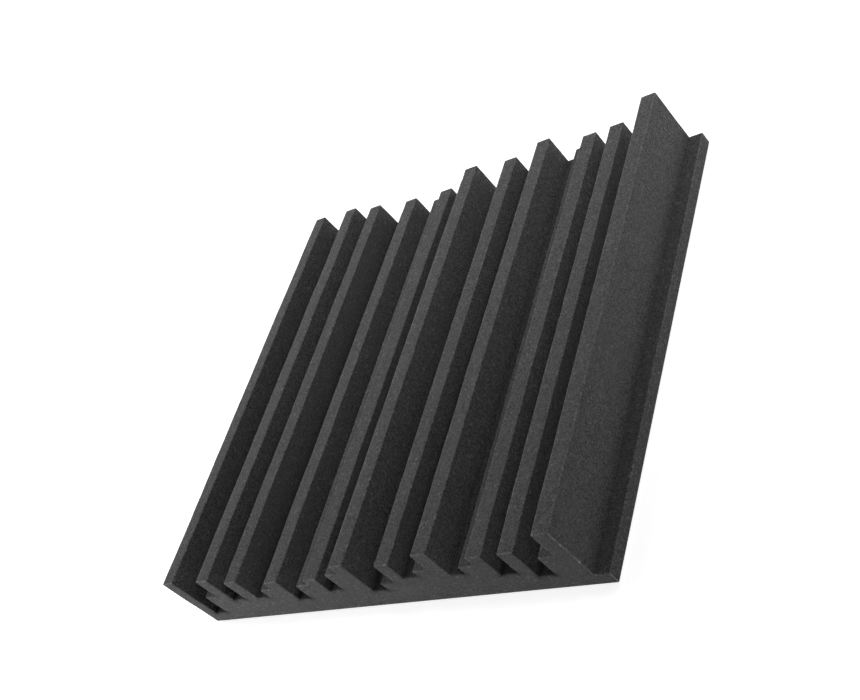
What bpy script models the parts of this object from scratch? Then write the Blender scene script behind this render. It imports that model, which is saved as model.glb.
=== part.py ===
"""Acoustic foam panel with its wall fixings.

A square tile of open-cell foam has a stepped face of straight ribs and slots. Four squares of
double-sided foam tape sit near the corners of its flat back, each still under its release liner.

Units are metres. The tile lies on its back: X runs across the ribs, Y along them and Z out of
the wall. The origin is under the middle of the tile, level with the liners' outer faces.
"""

import bmesh
import bpy
from mathutils import Vector

# Foam tile, measured across and along the ribs.
TILE_WIDTH = 0.3048
TILE_LENGTH = 0.3048

# The face is a row of columns. All are equally wide except the first and the last, which lose
# a little where the tile is trimmed out of its block.
TRIMMED_COLUMN_WIDTH = 0.0093

# Heights of the columns above the back face, from left to right.
FIRST_RIB_TOP = 0.0485
SKYLINE = (
    # slot floor, ledge beside the rib (None where there is none), rib top
    (0.0095, 0.0290, 0.0465),
    (0.0225, None, 0.0415),
    (0.0215, 0.0290, 0.0365),
    (0.0150, 0.0290, 0.0340),
    (0.0205, 0.0365, 0.0445),
    (0.0155, 0.0225, 0.0400),
    (0.0255, 0.0305, 0.0450),
    (0.0230, 0.0295, 0.0370),
    (0.0180, None, 0.0370),
    (0.0130, 0.0295, 0.0495),
)
FLANGE_TOP = 0.0090

# Squares of double-sided foam tape on the back.
PAD_SIDE = 0.0250
PAD_THICKNESS = 0.0010
PAD_CORNER_RADIUS = 0.0020
PAD_EDGE_DISTANCE = 0.0200

# Release liners under the tape, longer than it on one side so that a finger can lift them.
LINER_THICKNESS = 0.0002
LINER_OVERHANG = 0.0005
LINER_LIFT = 0.0040

# Clearance between two faces that are stuck together.
BOND_GAP = 0.0002

CORNER_SEGMENTS = 4

PAD_BOTTOM = LINER_THICKNESS + BOND_GAP
TILE_BACK = PAD_BOTTOM + PAD_THICKNESS + BOND_GAP


def clear_scene():
    """Empty the file of its objects."""
    for old in list(bpy.data.objects):
        bpy.data.objects.remove(old, do_unlink=True)


def make_material(name, colour, roughness):
    """A non-metallic Principled material."""
    material = bpy.data.materials.new(name)
    material.use_nodes = True
    shader = material.node_tree.nodes["Principled BSDF"]
    shader.inputs["Base Color"].default_value = (*colour, 1.0)
    shader.inputs["Roughness"].default_value = roughness
    shader.inputs["Metallic"].default_value = 0.0
    return material


def add_object(name, bm, material):
    """Turn a finished bmesh into a named object and give it back."""
    bmesh.ops.recalc_face_normals(bm, faces=bm.faces[:])
    mesh = bpy.data.meshes.new(name)
    bm.to_mesh(mesh)
    bm.free()
    mesh.materials.append(material)
    obj = bpy.data.objects.new(name, mesh)
    bpy.context.collection.objects.link(obj)
    return obj


def column_tops():
    """Heights of all the columns, from the first rib to the flange at the last."""
    tops = [FIRST_RIB_TOP]
    for slot, ledge, rib in SKYLINE:
        tops.append(slot)
        if ledge is not None:
            tops.append(ledge)
        tops.append(rib)
    tops.append(FLANGE_TOP)
    return tops


def column_edges(count):
    """X of each column's left edge, and of the last one's right edge."""
    pitch = (TILE_WIDTH - 2 * TRIMMED_COLUMN_WIDTH) / (count - 2)
    left = -TILE_WIDTH / 2
    inner = [left + TRIMMED_COLUMN_WIDTH + pitch * i for i in range(count - 1)]
    return [left] + inner + [-left]


def skyline_outline():
    """Corners of the tile's end face, seen along Y: the flat back, then each column's top."""
    tops = column_tops()
    edges = column_edges(len(tops))
    outline = [(edges[0], 0.0)]
    for top, left, right in zip(tops, edges, edges[1:]):
        outline.append((left, top))
        outline.append((right, top))
    outline.append((edges[-1], 0.0))
    return outline


def make_foam_panel(material):
    """The end face drawn once and pulled along the whole length, as the foam is cut."""
    bm = bmesh.new()
    corners = [bm.verts.new((x, -TILE_LENGTH / 2, TILE_BACK + z)) for x, z in skyline_outline()]
    end_face = bm.faces.new(corners)
    pulled = bmesh.ops.extrude_face_region(bm, geom=[end_face], use_keep_orig=True)
    far_corners = [item for item in pulled["geom"] if isinstance(item, bmesh.types.BMVert)]
    bmesh.ops.translate(bm, vec=Vector((0.0, TILE_LENGTH, 0.0)), verts=far_corners)
    return add_object("foam_panel", bm, material)


def rounded_slab(low, high, radius):
    """A flat block between two corners, with its four upright edges rounded."""
    bm = bmesh.new()
    bmesh.ops.create_cube(bm, size=1.0)
    size = high - low
    bmesh.ops.scale(bm, vec=size, verts=bm.verts[:])
    bmesh.ops.translate(bm, vec=(low + high) / 2, verts=bm.verts[:])
    upright = [e for e in bm.edges if abs(e.verts[0].co.z - e.verts[1].co.z) > size.z / 2]
    bmesh.ops.bevel(
        bm,
        geom=upright,
        offset=radius,
        offset_type="OFFSET",
        segments=CORNER_SEGMENTS,
        profile=0.5,
        affect="EDGES",
        material=-1,
    )
    return bm


def pad_box(side_x, side_y):
    """Lowest and highest corner of the tape square at one corner of the back."""
    reach_x = TILE_WIDTH / 2 - PAD_EDGE_DISTANCE - PAD_SIDE / 2
    reach_y = TILE_LENGTH / 2 - PAD_EDGE_DISTANCE - PAD_SIDE / 2
    middle = Vector((side_x * reach_x, side_y * reach_y, PAD_BOTTOM + PAD_THICKNESS / 2))
    half = Vector((PAD_SIDE, PAD_SIDE, PAD_THICKNESS)) / 2
    return middle - half, middle + half


def make_adhesive_pad(corner, side_x, side_y, material):
    """One square of double-sided foam tape."""
    low, high = pad_box(side_x, side_y)
    bm = rounded_slab(low, high, PAD_CORNER_RADIUS)
    return add_object("adhesive_pad_" + corner, bm, material)


def make_release_liner(corner, side_x, side_y, material):
    """The paper under one tape square. Its finger lift points to the middle of the tile."""
    low, high = pad_box(side_x, side_y)
    low.x -= LINER_OVERHANG
    high.x += LINER_OVERHANG
    if side_y < 0:
        low.y -= LINER_OVERHANG
        high.y += LINER_LIFT
    else:
        low.y -= LINER_LIFT
        high.y += LINER_OVERHANG
    low.z = 0.0
    high.z = LINER_THICKNESS
    bm = rounded_slab(low, high, PAD_CORNER_RADIUS + LINER_OVERHANG)
    return add_object("release_liner_" + corner, bm, material)


def build():
    """Make the tile, then a tape square and its liner at each corner of the back."""
    clear_scene()
    foam = make_material("charcoal_polyurethane_foam", (0.055, 0.055, 0.056), 0.95)
    tape = make_material("white_polyethylene_foam_tape", (0.75, 0.75, 0.72), 0.60)
    paper = make_material("siliconised_liner_paper", (0.72, 0.62, 0.42), 0.40)
    make_foam_panel(foam)
    corners = {
        "near_left": (-1, -1),
        "near_right": (1, -1),
        "far_left": (-1, 1),
        "far_right": (1, 1),
    }
    for corner, (side_x, side_y) in corners.items():
        make_adhesive_pad(corner, side_x, side_y, tape)
        make_release_liner(corner, side_x, side_y, paper)


build()
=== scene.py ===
# %% [markdown]
# # An acoustic foam tile, dressed for its picture
#
# The object is a one foot square of dark open-cell foam. Its back is flat and its face is cut
# into straight ribs and slots of many depths, like a city skyline pulled out along its length.
# Four squares of foam tape under paper liners sit on the back. Everything below is built around
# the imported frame, which holds the real sizes, in metres, with the ribs up and the back down.

import math

import bmesh
import bpy
from mathutils import Matrix, Vector, noise
from mathutils.bvhtree import BVHTree


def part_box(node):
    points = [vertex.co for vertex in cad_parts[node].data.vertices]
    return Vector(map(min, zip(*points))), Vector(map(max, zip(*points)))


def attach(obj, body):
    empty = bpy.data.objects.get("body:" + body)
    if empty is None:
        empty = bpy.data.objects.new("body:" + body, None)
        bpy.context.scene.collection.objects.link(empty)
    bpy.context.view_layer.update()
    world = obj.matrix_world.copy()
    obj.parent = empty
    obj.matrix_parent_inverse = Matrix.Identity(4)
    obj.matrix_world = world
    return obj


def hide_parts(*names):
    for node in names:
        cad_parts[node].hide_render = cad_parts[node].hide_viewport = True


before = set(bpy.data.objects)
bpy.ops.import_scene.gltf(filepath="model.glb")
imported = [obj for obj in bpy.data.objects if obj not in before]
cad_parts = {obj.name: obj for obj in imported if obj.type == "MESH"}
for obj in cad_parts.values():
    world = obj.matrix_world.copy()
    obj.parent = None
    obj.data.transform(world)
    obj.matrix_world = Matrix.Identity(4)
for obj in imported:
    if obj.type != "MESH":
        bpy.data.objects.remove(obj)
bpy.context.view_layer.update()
MM = 0.001

# %% [markdown]
# ## Camera
#
# The picture was taken from in front of the tile and to its right, about a third of the way up
# from the floor to overhead, with the camera turned on its side by half a right angle. A camera
# can be turned by hand until the view looks right, but the ribs would then miss the picture's
# by many pixels. The place, the aim and the turn below come from lining up the tile's corners
# and steps with the picture.

# %% Camera
CAMERA_PLACE = Vector((0.5079, -0.4352, 0.4653))
CAMERA_AIM = Vector((-0.0105, 0.0135, 0.0250))
CAMERA_ROLL = math.radians(-46.61)
CAMERA_LENS_MM = 54.39
SENSOR_MM = 36.0
NEAREST_SEEN = 0.01


def make_camera():
    """A camera that looks at the aim point, then turns about its own axis."""
    data = bpy.data.cameras.new("camera")
    data.sensor_width = SENSOR_MM
    data.lens = CAMERA_LENS_MM
    data.clip_start = NEAREST_SEEN
    camera = bpy.data.objects.new("camera", data)
    bpy.context.collection.objects.link(camera)
    look = (CAMERA_AIM - CAMERA_PLACE).to_track_quat("-Z", "Y").to_matrix().to_4x4()
    roll = Matrix.Rotation(CAMERA_ROLL, 4, "Z")
    camera.matrix_world = Matrix.Translation(CAMERA_PLACE) @ look @ roll
    bpy.context.scene.camera = camera


make_camera()
print("camera is", round((CAMERA_AIM - CAMERA_PLACE).length, 3), "m from the tile")

# %% [markdown]
# ## Colours and nodes
#
# Colours are written as hex numbers, the way they look on screen, and one function turns them
# to the linear values that shaders work in. A second adds a node with its settings, values and
# links, so that a material reads as a list of its nodes. A third starts an empty material.

# %% Colour and node helpers
def linear(hex_colour):
    """A screen colour such as 808080 as linear red, green, blue and alpha, by the sRGB curve."""
    shares = [int(hex_colour[start:start + 2], 16) / 255 for start in (0, 2, 4)]
    values = [s / 12.92 if s <= 0.04045 else ((s + 0.055) / 1.055) ** 2.4 for s in shares]
    return (*values, 1.0)


def add_node(tree, kind, values=None, links=None, **settings):
    """A node of one kind, with its settings, the values of its sockets and what feeds them."""
    node = tree.nodes.new(kind)
    for name, setting in settings.items():
        setattr(node, name, setting)
    for socket, value in (values or {}).items():
        node.inputs[socket].default_value = value
    for socket, source in (links or {}).items():
        tree.links.new(source, node.inputs[socket])
    return node


def new_material(name):
    """An empty material and its node tree."""
    material = bpy.data.materials.new(name)
    material.use_nodes = True
    material.node_tree.nodes.clear()
    return material, material.node_tree


print("mid grey 808080 is", round(linear("808080")[0], 3), "in linear light")

# %% [markdown]
# ## Floor paper
#
# The picture has a pure white ground. The floor is a sheet of white paper that takes the tile's
# soft shadow. Lamps strong enough to turn it white would wash out the dark foam, so the paper
# also glows, for the camera only: less near the tile, where the shadow falls, and fully further
# out, so that it runs into the white background without a horizon. From below the paper is
# see-through, also to light, so that the flat back can be lit and looked at.

# %% Floor paper
FLOOR_COLOUR = "D8D8D8"
GLOW_NEAR = 0.83
GLOW_FAR = 1.0
GLOW_NEAR_RADIUS = 0.30
GLOW_FAR_RADIUS = 0.75


def floor_glow(tree, ways):
    """A glow that grows with the distance from the tile and that only the camera sees."""
    place = add_node(tree, "ShaderNodeTexCoord").outputs["Object"]
    radius = add_node(tree, "ShaderNodeVectorMath", None, {0: place}, operation="LENGTH")
    glow = add_node(
        tree,
        "ShaderNodeMapRange",
        {
            "From Min": GLOW_NEAR_RADIUS,
            "From Max": GLOW_FAR_RADIUS,
            "To Min": GLOW_NEAR,
            "To Max": GLOW_FAR,
        },
        {"Value": radius.outputs["Value"]},
        interpolation_type="SMOOTHSTEP",
    )
    glow_seen = add_node(
        tree,
        "ShaderNodeMath",
        None,
        {0: glow.outputs[0], 1: ways.outputs["Is Camera Ray"]},
        operation="MULTIPLY",
    )
    return add_node(tree, "ShaderNodeEmission", None, {"Strength": glow_seen.outputs[0]})


def make_floor_material():
    """White paper: plain and matt with a glow, clear from below and to light on its way."""
    material, tree = new_material("white_paper_floor")
    ways = add_node(tree, "ShaderNodeLightPath")
    paper = add_node(tree, "ShaderNodeBsdfDiffuse", {"Color": linear(FLOOR_COLOUR)})
    glow = floor_glow(tree, ways)
    lit = add_node(tree, "ShaderNodeAddShader", None, {0: paper.outputs[0], 1: glow.outputs[0]})
    clear = add_node(tree, "ShaderNodeBsdfTransparent")
    side = add_node(tree, "ShaderNodeNewGeometry")
    open_to_light = add_node(
        tree,
        "ShaderNodeMath",
        None,
        {0: side.outputs["Backfacing"], 1: ways.outputs["Is Shadow Ray"]},
        operation="MAXIMUM",
    )
    shader = add_node(
        tree,
        "ShaderNodeMixShader",
        None,
        {0: open_to_light.outputs[0], 1: lit.outputs[0], 2: clear.outputs[0]},
    )
    add_node(tree, "ShaderNodeOutputMaterial", None, {"Surface": shader.outputs[0]})
    return material


floor_material = make_floor_material()
print("floor glow is", GLOW_NEAR, "by the tile and", GLOW_FAR, "further out")

# %% [markdown]
# ## Floor sheet
#
# A plain square would do, but it lies a fifth of a millimetre under the liners, and light that
# bounced in so thin a gap would tint the back. So the sheet has a hole that the tile hides: its
# one face is inset, which leaves a smaller face in the middle, and that one is taken out.

# %% Floor sheet
FLOOR_DROP = 0.2 * MM
FLOOR_HALF = 4.0
HOLE_HALF = 0.14


def make_floor():
    """A wide flat sheet just under the tile's liners, with a hole that the tile hides."""
    bm = bmesh.new()
    bmesh.ops.create_grid(bm, x_segments=1, y_segments=1, size=FLOOR_HALF)
    middle = bm.faces[:]
    bmesh.ops.inset_region(
        bm,
        faces=middle,
        thickness=FLOOR_HALF - HOLE_HALF,
        use_boundary=True,
        use_even_offset=True,
    )
    bmesh.ops.delete(bm, geom=middle, context="FACES_ONLY")
    bmesh.ops.translate(bm, vec=(0.0, 0.0, -FLOOR_DROP), verts=bm.verts[:])
    mesh = bpy.data.meshes.new("floor")
    bm.to_mesh(mesh)
    bm.free()
    mesh.materials.append(floor_material)
    floor = bpy.data.objects.new("floor", mesh)
    bpy.context.collection.objects.link(floor)
    return floor


floor = make_floor()
print("floor is", 2 * FLOOR_HALF, "m wide, in", len(floor.data.polygons), "faces round its hole")

# %% [markdown]
# ## Background
#
# Past the floor the picture is blank white. A world can also light a scene, but light from all
# round would fill the slots, which are nearly black in the picture. So the world is white only
# to the camera and in what it sees by reflection or through glass, and the lamps do the rest.

# %% World
BACKGROUND_COLOUR = "FFFFFF"


def make_world():
    """Plain white where the camera looks past the floor, and no light on the tile."""
    world = bpy.data.worlds.new("studio")
    world.use_nodes = True
    tree = world.node_tree
    tree.nodes.clear()
    ways = add_node(tree, "ShaderNodeLightPath")
    seen = add_node(
        tree,
        "ShaderNodeMath",
        None,
        {0: ways.outputs["Is Camera Ray"], 1: ways.outputs["Is Glossy Ray"]},
        operation="MAXIMUM",
    )
    seen_too = add_node(
        tree,
        "ShaderNodeMath",
        None,
        {0: seen.outputs[0], 1: ways.outputs["Is Transmission Ray"]},
        operation="MAXIMUM",
    )
    light = add_node(
        tree,
        "ShaderNodeBackground",
        {"Color": linear(BACKGROUND_COLOUR)},
        {"Strength": seen_too.outputs[0]},
    )
    add_node(tree, "ShaderNodeOutputWorld", None, {"Surface": light.outputs[0]})
    bpy.context.scene.world = world


make_world()
bpy.context.scene.view_settings.view_transform = "Standard"
print("background", BACKGROUND_COLOUR)

# %% [markdown]
# ## Lamps
#
# The rib tops and the near end are lit alike in the picture, the walls that face the camera are
# darker, and the slots are nearly black. A ring of equal lamps would lose that, so most of the
# light comes from the left: a low soft box in front lights the near end, and one at the side
# and one high above it light the tops. Two weak boxes on the right and one below the
# see-through floor give the walls and the right edge a little light, and a lamp straight below
# lights the flat back.

# %% Lamps
# A name, the azimuth and elevation in degrees, the distance and width in metres, and the watts.
LAMPS = (
    ("low_front", 334, 0, 0.8, 0.3, 3.85),
    ("left", 270, 30, 0.8, 0.5, 2.4),
    ("high_back_left", 250, 60, 1.2, 0.6, 9.3),
    ("high_back_right", 135, 40, 0.6, 0.2, 0.88),
    ("right", 110, 25, 0.8, 0.5, 0.75),
    ("floor_right", 120, -35, 0.8, 0.5, 2.5),
)
UNDER_DEPTH = 1.2
UNDER_WIDTH = 0.3
UNDER_WATTS = 10.0


def round_tile(azimuth, elevation, distance):
    """A place round the tile: azimuth 0 is in front of the near end and 90 is to the right."""
    turn = math.radians(azimuth)
    rise = math.radians(elevation)
    flat = distance * math.cos(rise)
    return Vector((flat * math.sin(turn), -flat * math.cos(turn), distance * math.sin(rise)))


def add_lamp(name, place, width, watts):
    """A square soft lamp at a place, turned to the middle of the tile."""
    data = bpy.data.lights.new(name, "AREA")
    data.shape = "SQUARE"
    data.size = width
    data.energy = watts
    lamp = bpy.data.objects.new(name, data)
    bpy.context.collection.objects.link(lamp)
    lamp.location = place
    lamp.rotation_mode = "QUATERNION"
    lamp.rotation_quaternion = (-place).to_track_quat("-Z", "Y")


for name, azimuth, elevation, distance, width, watts in LAMPS:
    add_lamp(name, round_tile(azimuth, elevation, distance), width, watts)
add_lamp("under", Vector((0.0, 0.0, -UNDER_DEPTH)), UNDER_WIDTH, UNDER_WATTS)

# %% [markdown]
# ## Open-cell foam
#
# The tile is charcoal polyurethane foam, cut with a blade. A cut face shows the broken walls of
# thousands of small cells, a fine grain that is dark in each pit and pale along the strands
# round it. A photograph of foam could be laid on every face, but it would show where it
# repeats. Cells worked out from the tile's own coordinates run through it as the real ones do.
# Those are about half a millimetre wide, less than a pixel of the picture, so these are drawn
# a little coarser.

# %% Foam cells
CELL = 0.9 * MM
# Distances from the middle of a cell, as shares of its width.
PIT_REACH = 0.15
STRAND_START = 0.65


def foam_cells(tree, place):
    """How high a point stands in its cell, from pit to strand, and a shade the cell shares."""
    cells = add_node(tree, "ShaderNodeTexVoronoi", {"Scale": 1 / CELL}, {"Vector": place})
    height = add_node(
        tree,
        "ShaderNodeMapRange",
        {"From Min": PIT_REACH, "From Max": STRAND_START},
        {"Value": cells.outputs["Distance"]},
        interpolation_type="SMOOTHSTEP",
    )
    shade = add_node(tree, "ShaderNodeSeparateColor", None, {0: cells.outputs["Color"]})
    return height.outputs[0], shade.outputs[0]


print("foam cells are", round(CELL / MM, 2), "mm wide")

# %% [markdown]
# ## Grain of the cut
#
# Some cells are cut open deeper than others, so half of a point's tone is its height and half
# is a random shade that its whole cell shares. The ends are sawn across the block, which leaves
# them smoother than the long cuts. They could have a material of their own, but one material
# that looks at the way a face points also fits the round edges in between.

# %% Foam grain
FOAM_PIT = "3B3B3D"
FOAM_STRAND = "666667"
SHADE_SHARE = 0.5
MIDDLE_TONE = 0.5
CUT_GRAIN = 1.45
END_GRAIN = 1.0


def grain_strength(tree):
    """The contrast of the grain: more on the long cuts and less on the sawn ends."""
    facing = add_node(tree, "ShaderNodeNewGeometry").outputs["Normal"]
    parts = add_node(tree, "ShaderNodeSeparateXYZ", None, {0: facing})
    end = add_node(tree, "ShaderNodeMath", None, {0: parts.outputs["Y"]}, operation="ABSOLUTE")
    strength = add_node(
        tree,
        "ShaderNodeMapRange",
        {"To Min": CUT_GRAIN, "To Max": END_GRAIN},
        {"Value": end.outputs[0]},
    )
    return strength.outputs[0]


def grain_colour(tree, height, shade):
    """The colour of the cut cells, from the dark of a pit to the grey of a strand."""
    tone = add_node(
        tree,
        "ShaderNodeMix",
        {0: SHADE_SHARE},
        {2: height, 3: shade},
        data_type="FLOAT",
    )
    centred = add_node(
        tree,
        "ShaderNodeMath",
        {1: MIDDLE_TONE},
        {0: tone.outputs[0]},
        operation="SUBTRACT",
    )
    stretched = add_node(
        tree,
        "ShaderNodeMath",
        {2: MIDDLE_TONE},
        {0: centred.outputs[0], 1: grain_strength(tree)},
        operation="MULTIPLY_ADD",
    )
    colour = add_node(
        tree,
        "ShaderNodeMix",
        {6: linear(FOAM_PIT), 7: linear(FOAM_STRAND)},
        {0: stretched.outputs[0]},
        data_type="RGBA",
    )
    return colour.outputs[2]


print("grain runs from", FOAM_PIT, "to", FOAM_STRAND, "at a contrast of", CUT_GRAIN)

# %% [markdown]
# ## Flecks and dye
#
# A few strands stand up and catch the light, and paler flecks a little over a millimetre wide are
# painted as their glints. They are cells of a second, wider net: each draws a number, and only the
# highest draws get paler.
# The dye is also a little uneven, which a soft noise in clouds of 9 mm gives. Both could be
# painted by hand, but worked out like this they cover every face at the same size.

# %% Foam flecks and dye
# The colour of the painted glints, where standing strands catch the light.
FOAM_GLINT = "787878"
FLECK = 1.2 * MM
FLECK_SHARE = 0.07
DYE_CLOUD = 9.0 * MM
DYE_DETAIL = 2.0
DYE_LOW = 0.3
DYE_HIGH = 0.7
DYE_SWING = 0.05


def add_painted_glints(tree, place, colour):
    """A colour with a few paler flecks in it, painted as glints of strands that catch the light.
    """
    flecks = add_node(tree, "ShaderNodeTexVoronoi", {"Scale": 1 / FLECK}, {"Vector": place})
    draw = add_node(tree, "ShaderNodeSeparateColor", None, {0: flecks.outputs["Color"]})
    fleck = add_node(
        tree,
        "ShaderNodeMapRange",
        {"From Min": 1 - FLECK_SHARE, "From Max": 1.0},
        {"Value": draw.outputs[0]},
    )
    flecked = add_node(
        tree,
        "ShaderNodeMix",
        {7: linear(FOAM_GLINT)},
        {0: fleck.outputs[0], 6: colour},
        data_type="RGBA",
    )
    return flecked.outputs[2]


def dye_strength(tree, place):
    """A gain that is a little above or below 1 from place to place."""
    cloud = add_node(
        tree,
        "ShaderNodeTexNoise",
        {"Scale": 1 / DYE_CLOUD, "Detail": DYE_DETAIL},
        {"Vector": place},
    )
    gain = add_node(
        tree,
        "ShaderNodeMapRange",
        {
            "From Min": DYE_LOW,
            "From Max": DYE_HIGH,
            "To Min": 1 - DYE_SWING,
            "To Max": 1 + DYE_SWING,
        },
        {"Value": cloud.outputs[0]},
    )
    return gain.outputs[0]


print("one cell in", round(1 / FLECK_SHARE), "of the wider net is a fleck")

# %% [markdown]
# ## Painted highlights on edges and painted shade in corners
#
# A cut edge, its cells open on two sides, catches more light than a face, and a painted highlight
# lifts its colour to stand in for that. Where two cuts meet inside, shade falls, and a painted
# shade darkens the colour there. A texture can't tell where an edge is, so the tile's mesh will
# carry two marks, each a number from 0 to 1, and the material turns a mark to a gain on its
# colour.

# %% Foam marks
# Marks for a painted highlight on the edges and a painted shade in the inner corners.
HIGHLIGHT_MARK = "painted_edge_highlight"
HIGHLIGHT_LIFT = 2.9
CORNER_SHADE_MARK = "painted_corner_shade"
CORNER_SHADE = 0.2


def add_mark(tree, gain, mark, full):
    """A gain times what a mark on the mesh asks for: 1 where it is 0 and full where it is 1."""
    share = add_node(tree, "ShaderNodeAttribute", attribute_name=mark)
    own_gain = add_node(
        tree,
        "ShaderNodeMapRange",
        {"To Min": 1.0, "To Max": full},
        {"Value": share.outputs["Fac"]},
    )
    both = add_node(
        tree,
        "ShaderNodeMath",
        None,
        {0: gain, 1: own_gain.outputs[0]},
        operation="MULTIPLY",
    )
    return both.outputs[0]


print("marks:", HIGHLIGHT_MARK, "up to", HIGHLIGHT_LIFT, "and", CORNER_SHADE_MARK, "down to", CORNER_SHADE)

# %% [markdown]
# ## Foam material
#
# Foam is matt: it is fully rough in the pits and a little less on the strands, and it shines
# less than half as much as solid plastic, because the pits swallow the rest. The cells are a
# quarter of a millimetre deep. They could be cut into the mesh, but that would take millions of
# faces, so the height only bends the light, as a bump. The nodes that end the material are the
# same for the tape and the paper further down, so they have a function.

# %% Foam material
CELL_DEPTH = 0.25 * MM
CELL_RELIEF = 0.6
PIT_ROUGHNESS = 1.0
STRAND_ROUGHNESS = 0.88
FOAM_SHINE = 0.23
FOAM_DULLNESS = 1.0


def add_surface(tree, colour, rough, height, relief, depth, values):
    """A Principled surface with a bump of some relief and depth, linked to the output."""
    bump = add_node(
        tree,
        "ShaderNodeBump",
        {"Strength": relief, "Distance": depth},
        {"Height": height},
    )
    shader = add_node(
        tree,
        "ShaderNodeBsdfPrincipled",
        values,
        {"Base Color": colour, "Roughness": rough, "Normal": bump.outputs[0]},
    )
    add_node(tree, "ShaderNodeOutputMaterial", None, {"Surface": shader.outputs[0]})


def make_foam_material():
    """Charcoal open-cell polyurethane foam, blade-cut: matt, grainy, with pale strands."""
    material, tree = new_material("open_cell_polyurethane_foam")
    place = add_node(tree, "ShaderNodeTexCoord").outputs["Object"]
    height, shade = foam_cells(tree, place)
    flecked = add_painted_glints(tree, place, grain_colour(tree, height, shade))
    gain = dye_strength(tree, place)
    # A painted highlight on the open edges and a painted shade in the deep inner corners.
    gain = add_mark(tree, gain, HIGHLIGHT_MARK, HIGHLIGHT_LIFT)
    gain = add_mark(tree, gain, CORNER_SHADE_MARK, CORNER_SHADE)
    colour = add_node(
        tree,
        "ShaderNodeVectorMath",
        None,
        {0: flecked, "Scale": gain},
        operation="SCALE",
    )
    rough = add_node(
        tree,
        "ShaderNodeMapRange",
        {"To Min": PIT_ROUGHNESS, "To Max": STRAND_ROUGHNESS},
        {"Value": height},
    )
    values = {"Specular IOR Level": FOAM_SHINE, "Diffuse Roughness": FOAM_DULLNESS}
    add_surface(
        tree,
        colour.outputs[0],
        rough.outputs[0],
        height,
        CELL_RELIEF,
        CELL_DEPTH,
        values,
    )
    return material


foam_material = make_foam_material()
print(foam_material.name, "has", len(foam_material.node_tree.nodes), "nodes")

# %% [markdown]
# ## The foam tile
#
# The frame already holds the tile's exact outline, so a copy of that solid is the start. It
# could be remeshed as a fine even net, but that would need half a million triangles. Here its
# loose triangles are merged and joined up to flat faces, which the next steps round, mark and
# cut. The inner edges, where two cuts meet, are noted now, while each of them is one edge.

# %% Flat faces
MERGE = 0.01 * MM
FLAT_ANGLE = math.radians(1.0)


def flat_outline():
    """A copy of the frame's solid, as plain flat faces."""
    bm = bmesh.new()
    bm.from_mesh(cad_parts["foam_panel"].data)
    bmesh.ops.remove_doubles(bm, verts=bm.verts[:], dist=MERGE)
    bmesh.ops.dissolve_limit(bm, angle_limit=FLAT_ANGLE, verts=bm.verts[:], edges=bm.edges[:])
    return bm


foam = flat_outline()
inner_edges = [edge for edge in foam.edges if edge.is_manifold and not edge.is_convex]
inner_places = [(edge.verts[0].co + edge.verts[1].co) / 2 for edge in inner_edges]
print("outline:", len(foam.faces), "flat faces and", len(foam.edges), "edges")
print("of these,", len(inner_places), "are inner edges")

# %% [markdown]
# ## Rounded edges
#
# Foam never cuts to a hard corner, so every outward edge gets a small round. A Bevel modifier
# could do this without touching the mesh, but the cuts that follow need the rounds in place,
# and the operator also says which faces it made, so that they can be marked.

# %% Rounded edges
EDGE_ROUND = 0.7 * MM
EDGE_STEPS = 3


def round_edges(bm, edges, radius, steps):
    """Round some edges in a few steps, and say which faces the rounds are."""
    rounded = bmesh.ops.bevel(
        bm,
        geom=edges,
        offset=radius,
        offset_type="OFFSET",
        segments=steps,
        profile=0.5,
        affect="EDGES",
        material=-1,
    )
    return rounded["faces"]


painted_edge_highlight = foam.faces.layers.float.new(HIGHLIGHT_MARK)
outward_edges = [edge for edge in foam.edges if edge.is_convex]
foam_rounds = round_edges(foam, outward_edges, EDGE_ROUND, EDGE_STEPS)
print("rounds:", len(foam_rounds), "faces of", len(foam.faces))

# %% [markdown]
# ## Open sky
#
# In the picture an edge is pale only where it stands in the open, and a corner is dark only deep
# in a slot, because of how the light falls. Ambient occlusion in the material could find this, but
# it is slow and grainy. The tile is the same all along its length, so one fan of rays across the
# ribs is enough: the share of them that miss the foam says how open a place is, and so how much
# painted highlight or painted shade it gets.

# %% Open sky
SKY_RAYS = 36
foam_tree = BVHTree.FromBMesh(foam)


def sky_share(place):
    """The share of a fan of rays, spread across the ribs, that leave a place and miss the foam."""
    free = 0
    for step in range(SKY_RAYS):
        angle = math.pi * (step + 0.5) / SKY_RAYS
        way = Vector((math.cos(angle), 0.0, math.sin(angle)))
        hit_place = foam_tree.ray_cast(place + way * EDGE_ROUND, way)[0]
        if hit_place is None:
            free += 1
    return free / SKY_RAYS


sky_shares = [sky_share(place) for place in inner_places]
print("inner edges see", round(min(sky_shares), 2), "to", round(max(sky_shares), 2), "of the sky")

# %% [markdown]
# ## Edge marks
#
# The painted highlight is strongest on the upright edges of the ends, which are the palest in the
# picture. The level ones and the long ones get less, and those round the back get nothing. The
# marks could be painted by hand, but the way that a round points already tells which of these it
# is.

# %% Edge marks
LONG_EDGE_SHARE = 0.33
LEVEL_END_SHARE = 0.42
LEAST_TURN = 0.1
EDGE_SHUT = 0.35
EDGE_OPEN = 0.5


def highlight_share(face):
    """How much painted highlight a round gets from the way it points."""
    if face.normal.z < -LEAST_TURN:
        return 0.0
    if abs(face.normal.y) < LEAST_TURN:
        return LONG_EDGE_SHARE
    return 1.0 if abs(face.normal.z) < LEAST_TURN else LEVEL_END_SHARE


def open_share(place):
    """0 on an edge deep in a slot and 1 on an edge in the open."""
    share = (sky_share(place) - EDGE_SHUT) / (EDGE_OPEN - EDGE_SHUT)
    return min(1.0, max(0.0, share))


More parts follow.
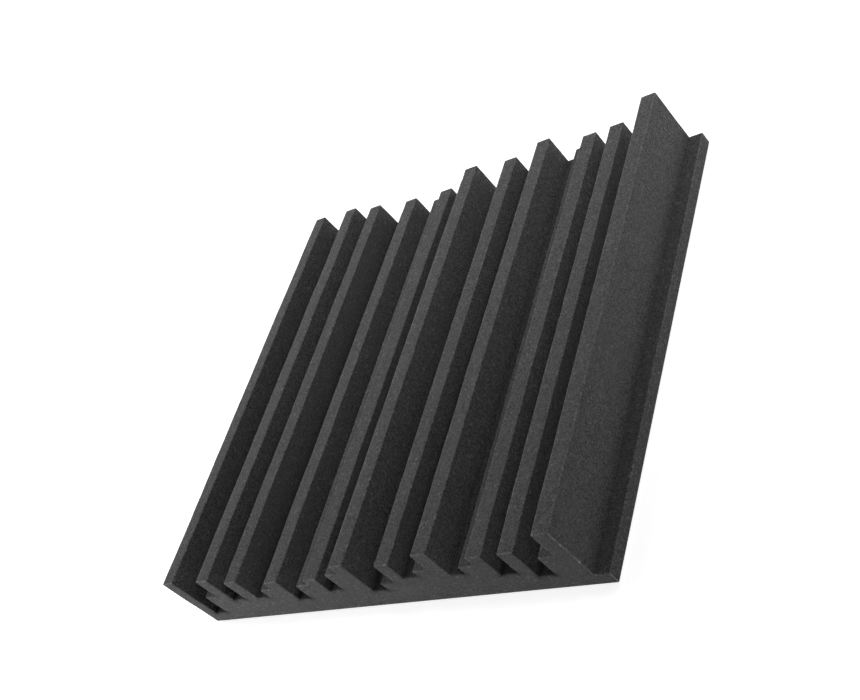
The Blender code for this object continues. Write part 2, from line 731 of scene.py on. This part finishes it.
# Painted highlight on each round: by the way it points, and only where it stands in the open.
for face in foam_rounds:
    face[painted_edge_highlight] = highlight_share(face) * open_share(face.calc_center_median())
print("pale rounds:", sum(face[painted_edge_highlight] > 0.0 for face in foam_rounds))

# %% [markdown]
# ## Strips
#
# Cut foam is never quite flat, so its faces need points in between that can be moved. A
# remesh would spoil the straight steps, so planes that run along the tile cut it instead,
# upright ones and level ones 2.5 mm apart. They leave long strips on the ribs and squares on
# the ends. A plane that passes very near a point goes through it, which leaves no slivers.

# %% Strips
SQUARE = 2.5 * MM
NEAR_PLANE = 0.15 * MM
ACROSS = Vector((1.0, 0.0, 0.0))
UP = Vector((0.0, 0.0, 1.0))
foam_low, foam_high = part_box("foam_panel")


def cut_through(bm, place, way, near):
    """Cut every face that a plane crosses, and say what lies on the plane."""
    cut = bmesh.ops.bisect_plane(
        bm,
        geom=bm.verts[:] + bm.edges[:] + bm.faces[:],
        dist=near,
        plane_co=place,
        plane_no=way,
    )
    return cut["geom_cut"]


def slice_across(bm, way, low, high):
    """Cut a bmesh with planes square to a direction, evenly spaced from low to high."""
    count = round((high - low) / SQUARE)
    for step in range(1, count):
        cut_through(bm, way * (low + (high - low) * step / count), way, NEAR_PLANE)


slice_across(foam, ACROSS, foam_low.x, foam_high.x)
slice_across(foam, UP, foam_low.z, foam_high.z)
print("strips:", len(foam.faces))

# %% [markdown]
# ## Corner marks
#
# The painted shade of an inner corner fades out over a few millimetres, so its mark goes on the
# points and not on the faces, and the renderer blends it in between. It is full at the bottom of a
# narrow slot, where the shade is deepest, and faint in an open corner. It is written now, because
# the points are still few and the cuts along the tile will copy it to the new ones.

# %% Corner marks
CORNER_SHUT = 0.15
CORNER_OPEN = 0.35
CORNER_LEAST = 0.2
CORNER_REACH = 4.0 * MM


def corner_depth(share):
    """1 in a corner that sees little of the sky and the least in an open one."""
    depth = (CORNER_OPEN - share) / (CORNER_OPEN - CORNER_SHUT)
    return min(1.0, max(CORNER_LEAST, depth))


def corner_shade_at(point, corners):
    """A corner's painted shade, falling to 0 at its reach, and the most where corners overlap."""
    marks = [depth * (1.0 - (point - place).length / CORNER_REACH) for place, depth in corners]
    return max(0.0, *marks)


# Painted shade in the inner corners: deepest in a narrow slot, faint in an open corner.
inner_depths = [corner_depth(share) for share in sky_shares]
shaded_corners = [(place.xz, depth) for place, depth in zip(inner_places, inner_depths)]
painted_corner_shade = foam.verts.layers.float.new(CORNER_SHADE_MARK)
for vert in foam.verts:
    vert[painted_corner_shade] = corner_shade_at(vert.co.xz, shaded_corners)
print("dark points:", sum(vert[painted_corner_shade] > 0.0 for vert in foam.verts))

# %% [markdown]
# ## Even squares
#
# More planes could cut the strips to squares, but each plane goes through the whole mesh. All
# the edges that run the tile's length are subdivided at once instead, with a grid filled in
# between them, which gives the same squares in a moment.

# %% Even squares
NEARLY_ALL = 0.9


def slice_along(bm, length):
    """Cut the long strips into squares, by cutting all the edges that run the tile's length."""
    long_edges = [edge for edge in bm.edges if edge.calc_length() > NEARLY_ALL * length]
    cuts = round(length / SQUARE) - 1
    bmesh.ops.subdivide_edges(bm, edges=long_edges, cuts=cuts, use_grid_fill=True)


slice_along(foam, foam_high.y - foam_low.y)
print("squares:", len(foam.faces))

# %% [markdown]
# ## Waves from the blade
#
# A block of foam gives way a little under the blade, so no cut comes out quite flat. The waves
# could be sculpted, but two noises give them evenly and the same each time: a slow one, with
# several waves to a rib, and a quick ripple. They fade out towards the back, which stays flat
# for its tape.

# %% Waves from the blade
WAVE = 38.0 * MM
WAVE_DEPTH = 0.3 * MM
RIPPLE = 9.0 * MM
RIPPLE_DEPTH = 0.12 * MM
STILL_HEIGHT = 6.0 * MM
WAVE_SEED = 7


def wave(bm, back):
    """Push the points about by a slow and a quick noise, but leave the flat back as it is."""
    for vert in bm.verts:
        free = min(1.0, (vert.co.z - back) / STILL_HEIGHT)
        slow = noise.noise_vector(vert.co / WAVE) * WAVE_DEPTH
        quick = noise.noise_vector(vert.co / RIPPLE) * RIPPLE_DEPTH
        vert.co += (slow + quick) * free


# Without a fixed seed, the noise would start from the time of day and differ on each run.
noise.seed_set(WAVE_SEED)
wave(foam, foam_low.z)
print("thickness now", round((max(v.co.z for v in foam.verts) - foam_low.z) / MM, 2), "mm")

# %% [markdown]
# ## A finished piece
#
# A bmesh is only a workbench, so the tile is now written to a mesh with a material and gets an
# object that can be seen. Flat shading would show every square, and smooth shading alone would
# smear the steps, so it is smooth with the sharp edges kept. The tile takes the place of the
# frame's plain solid. It is soft and full all through.

# %% Finish the tile
SHARP_ANGLE = math.radians(20.0)


def finish_piece(name, bm, material):
    """Show a finished bmesh as a piece that rides on the one body."""
    mesh = bpy.data.meshes.new(name)
    bm.to_mesh(mesh)
    bm.free()
    mesh.materials.append(material)
    mesh.shade_smooth()
    mesh.set_sharp_from_angle(angle=SHARP_ANGLE)
    piece = bpy.data.objects.new(name, mesh)
    bpy.context.collection.objects.link(piece)
    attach(piece, "root")
    return piece


foam_tile = finish_piece("foam_tile", foam, foam_material)
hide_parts("foam_panel")
print("foam tile:", len(foam_tile.data.loops) - 2 * len(foam_tile.data.polygons), "triangles")

# %% [markdown]
# ## Foam tape
#
# Four squares of double-sided tape hold the tile to the wall. The tape is a white closed-cell
# polyethylene foam a millimetre thick with a glue film on both faces. Its cells are too small
# to see one by one, so its side looks like smooth matt plastic with a fine mottle. Cells as on
# the tile would be lost on it, and a plain noise gives that mottle with fewer nodes. It is drawn
# a little coarser than the real one, so that it still shows from near by.

# %% Foam tape material
TAPE_COLOUR = "E4E4DF"
TAPE_SHADE = "CFCFC8"
TAPE_CELL = 0.35 * MM
TAPE_DETAIL = 3.0
MOTTLE_LOW = 0.35
MOTTLE_HIGH = 0.65
TAPE_PIT_ROUGHNESS = 0.75
TAPE_CREST_ROUGHNESS = 0.6
TAPE_RELIEF = 0.5
TAPE_DEPTH = 0.04 * MM
POLYETHYLENE_IOR = 1.5


def make_tape_material():
    """White closed-cell polyethylene foam tape, die-cut: matt, with a fine mottle."""
    material, tree = new_material("closed_cell_polyethylene_foam_tape")
    place = add_node(tree, "ShaderNodeTexCoord").outputs["Object"]
    cells = add_node(
        tree,
        "ShaderNodeTexNoise",
        {"Scale": 1 / TAPE_CELL, "Detail": TAPE_DETAIL},
        {"Vector": place},
    )
    height = add_node(
        tree,
        "ShaderNodeMapRange",
        {"From Min": MOTTLE_LOW, "From Max": MOTTLE_HIGH},
        {"Value": cells.outputs[0]},
    )
    colour = add_node(
        tree,
        "ShaderNodeMix",
        {6: linear(TAPE_SHADE), 7: linear(TAPE_COLOUR)},
        {0: height.outputs[0]},
        data_type="RGBA",
    )
    rough = add_node(
        tree,
        "ShaderNodeMapRange",
        {"To Min": TAPE_PIT_ROUGHNESS, "To Max": TAPE_CREST_ROUGHNESS},
        {"Value": height.outputs[0]},
    )
    add_surface(
        tree,
        colour.outputs[2],
        rough.outputs[0],
        height.outputs[0],
        TAPE_RELIEF,
        TAPE_DEPTH,
        {"IOR": POLYETHYLENE_IOR},
    )
    return material


tape_material = make_tape_material()
print(tape_material.name, "has", len(tape_material.node_tree.nodes), "nodes")

# %% [markdown]
# ## Tape squares
#
# A die cuts the tape and rounds its corners, and the press of the liner makes its sides bulge a
# little. The frame's plain slabs could be kept, but tape with sharp rims looks like card. So
# each square starts as a cube of the slab's size, its corners and rims are rounded, and a belt
# of points round its middle is spread.

# %% Foam tape squares
TAPE_CORNER = 2.0 * MM
TAPE_CORNER_STEPS = 8
TAPE_RIM = 0.15 * MM
TAPE_RIM_STEPS = 2
TAPE_BULGE = 0.12 * MM
CORNERS = ("near_left", "near_right", "far_left", "far_right")


def climb(edge):
    """How far an edge rises from one end to the other."""
    return abs(edge.verts[0].co.z - edge.verts[1].co.z)


def tape_shape(size):
    """A slab round the origin with round corners, soft rims and sides that bulge."""
    bm = bmesh.new()
    bmesh.ops.create_cube(bm, size=1.0)
    bmesh.ops.scale(bm, vec=size, verts=bm.verts[:])
    upright = [edge for edge in bm.edges if climb(edge) > size.z / 2]
    round_edges(bm, upright, TAPE_CORNER, TAPE_CORNER_STEPS)
    rims = [edge for edge in bm.edges if climb(edge) < MERGE]
    round_edges(bm, rims, TAPE_RIM, TAPE_RIM_STEPS)
    middle = cut_through(bm, Vector((0.0, 0.0, 0.0)), UP, MERGE)
    belt = [item for item in middle if isinstance(item, bmesh.types.BMVert)]
    spread = 1 + TAPE_BULGE / (size.x / 2)
    bmesh.ops.scale(bm, vec=(spread, spread, 1.0), verts=belt)
    return bm


def make_tape(corner):
    """One square of tape in the place of the frame's plain slab."""
    low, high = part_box("adhesive_pad_" + corner)
    bm = tape_shape(high - low)
    bmesh.ops.translate(bm, vec=(low + high) / 2, verts=bm.verts[:])
    tape = finish_piece("foam_tape_" + corner, bm, tape_material)
    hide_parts("adhesive_pad_" + corner)
    return tape


for corner in CORNERS:
    tape = make_tape(corner)
    print(tape.name, "has", len(tape.data.polygons), "faces")

# %% [markdown]
# ## Release liners
#
# Each tape square is covered by a slip of kraft paper with a silicone coat, so that it peels
# off. It is thin and stiff, with an even satin face, faint long fibres and a slightly cloudy
# colour. New slips could be modelled, but the frame's own solids have the right shape, with a
# lip to get a nail under, so they stay and only get their paper. Its fibres are a noise that is
# stretched one way, and a second noise clouds the pulp. Real fibres are finer than a hair, and
# are drawn several times as wide so that they show.

# %% Liner material
KRAFT_PALE = "DCC9A0"
KRAFT_DARK = "CDB789"
FIBRE_WIDTH = 0.35 * MM
FIBRE_LENGTH = 4.0 * MM
FIBRE_DETAIL = 4.0
PULP_CLOUD = 3.0 * MM
PULP_DETAIL = 2.0
# The fibres and the clouds each run from 0 to 1, so their sum is about 1.
PULP_LOW = 0.7
PULP_HIGH = 1.3
KRAFT_DARK_ROUGHNESS = 0.5
KRAFT_PALE_ROUGHNESS = 0.4
FIBRE_RELIEF = 0.3
FIBRE_DEPTH = 0.02 * MM
SILICONE_IOR = 1.45


def paper_pulp(tree):
    """The height of the fibres, and the shade of the pulp from dark to pale."""
    place = add_node(tree, "ShaderNodeTexCoord").outputs["Object"]
    along = add_node(
        tree,
        "ShaderNodeMapping",
        {"Scale": (1 / FIBRE_WIDTH, 1 / FIBRE_LENGTH, 1 / FIBRE_WIDTH)},
        {"Vector": place},
    )
    fibres = add_node(
        tree,
        "ShaderNodeTexNoise",
        {"Scale": 1.0, "Detail": FIBRE_DETAIL},
        {"Vector": along.outputs[0]},
    )
    clouds = add_node(
        tree,
        "ShaderNodeTexNoise",
        {"Scale": 1 / PULP_CLOUD, "Detail": PULP_DETAIL},
        {"Vector": place},
    )
    pulp = add_node(
        tree,
        "ShaderNodeMath",
        None,
        {0: fibres.outputs[0], 1: clouds.outputs[0]},
        operation="ADD",
    )
    shade = add_node(
        tree,
        "ShaderNodeMapRange",
        {"From Min": PULP_LOW, "From Max": PULP_HIGH},
        {"Value": pulp.outputs[0]},
    )
    return fibres.outputs[0], shade.outputs[0]


def make_liner_material():
    """Siliconised kraft paper: calendered smooth, satin, with faint fibres."""
    material, tree = new_material("siliconised_kraft_paper")
    fibres, shade = paper_pulp(tree)
    colour = add_node(
        tree,
        "ShaderNodeMix",
        {6: linear(KRAFT_DARK), 7: linear(KRAFT_PALE)},
        {0: shade},
        data_type="RGBA",
    )
    rough = add_node(
        tree,
        "ShaderNodeMapRange",
        {"To Min": KRAFT_DARK_ROUGHNESS, "To Max": KRAFT_PALE_ROUGHNESS},
        {"Value": shade},
    )
    add_surface(
        tree,
        colour.outputs[2],
        rough.outputs[0],
        fibres,
        FIBRE_RELIEF,
        FIBRE_DEPTH,
        {"IOR": SILICONE_IOR},
    )
    return material


liner_material = make_liner_material()
for corner in CORNERS:
    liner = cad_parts["release_liner_" + corner]
    liner.data.materials.clear()
    liner.data.materials.append(liner_material)
print("liners in", liner_material.name + ":", len(CORNERS))
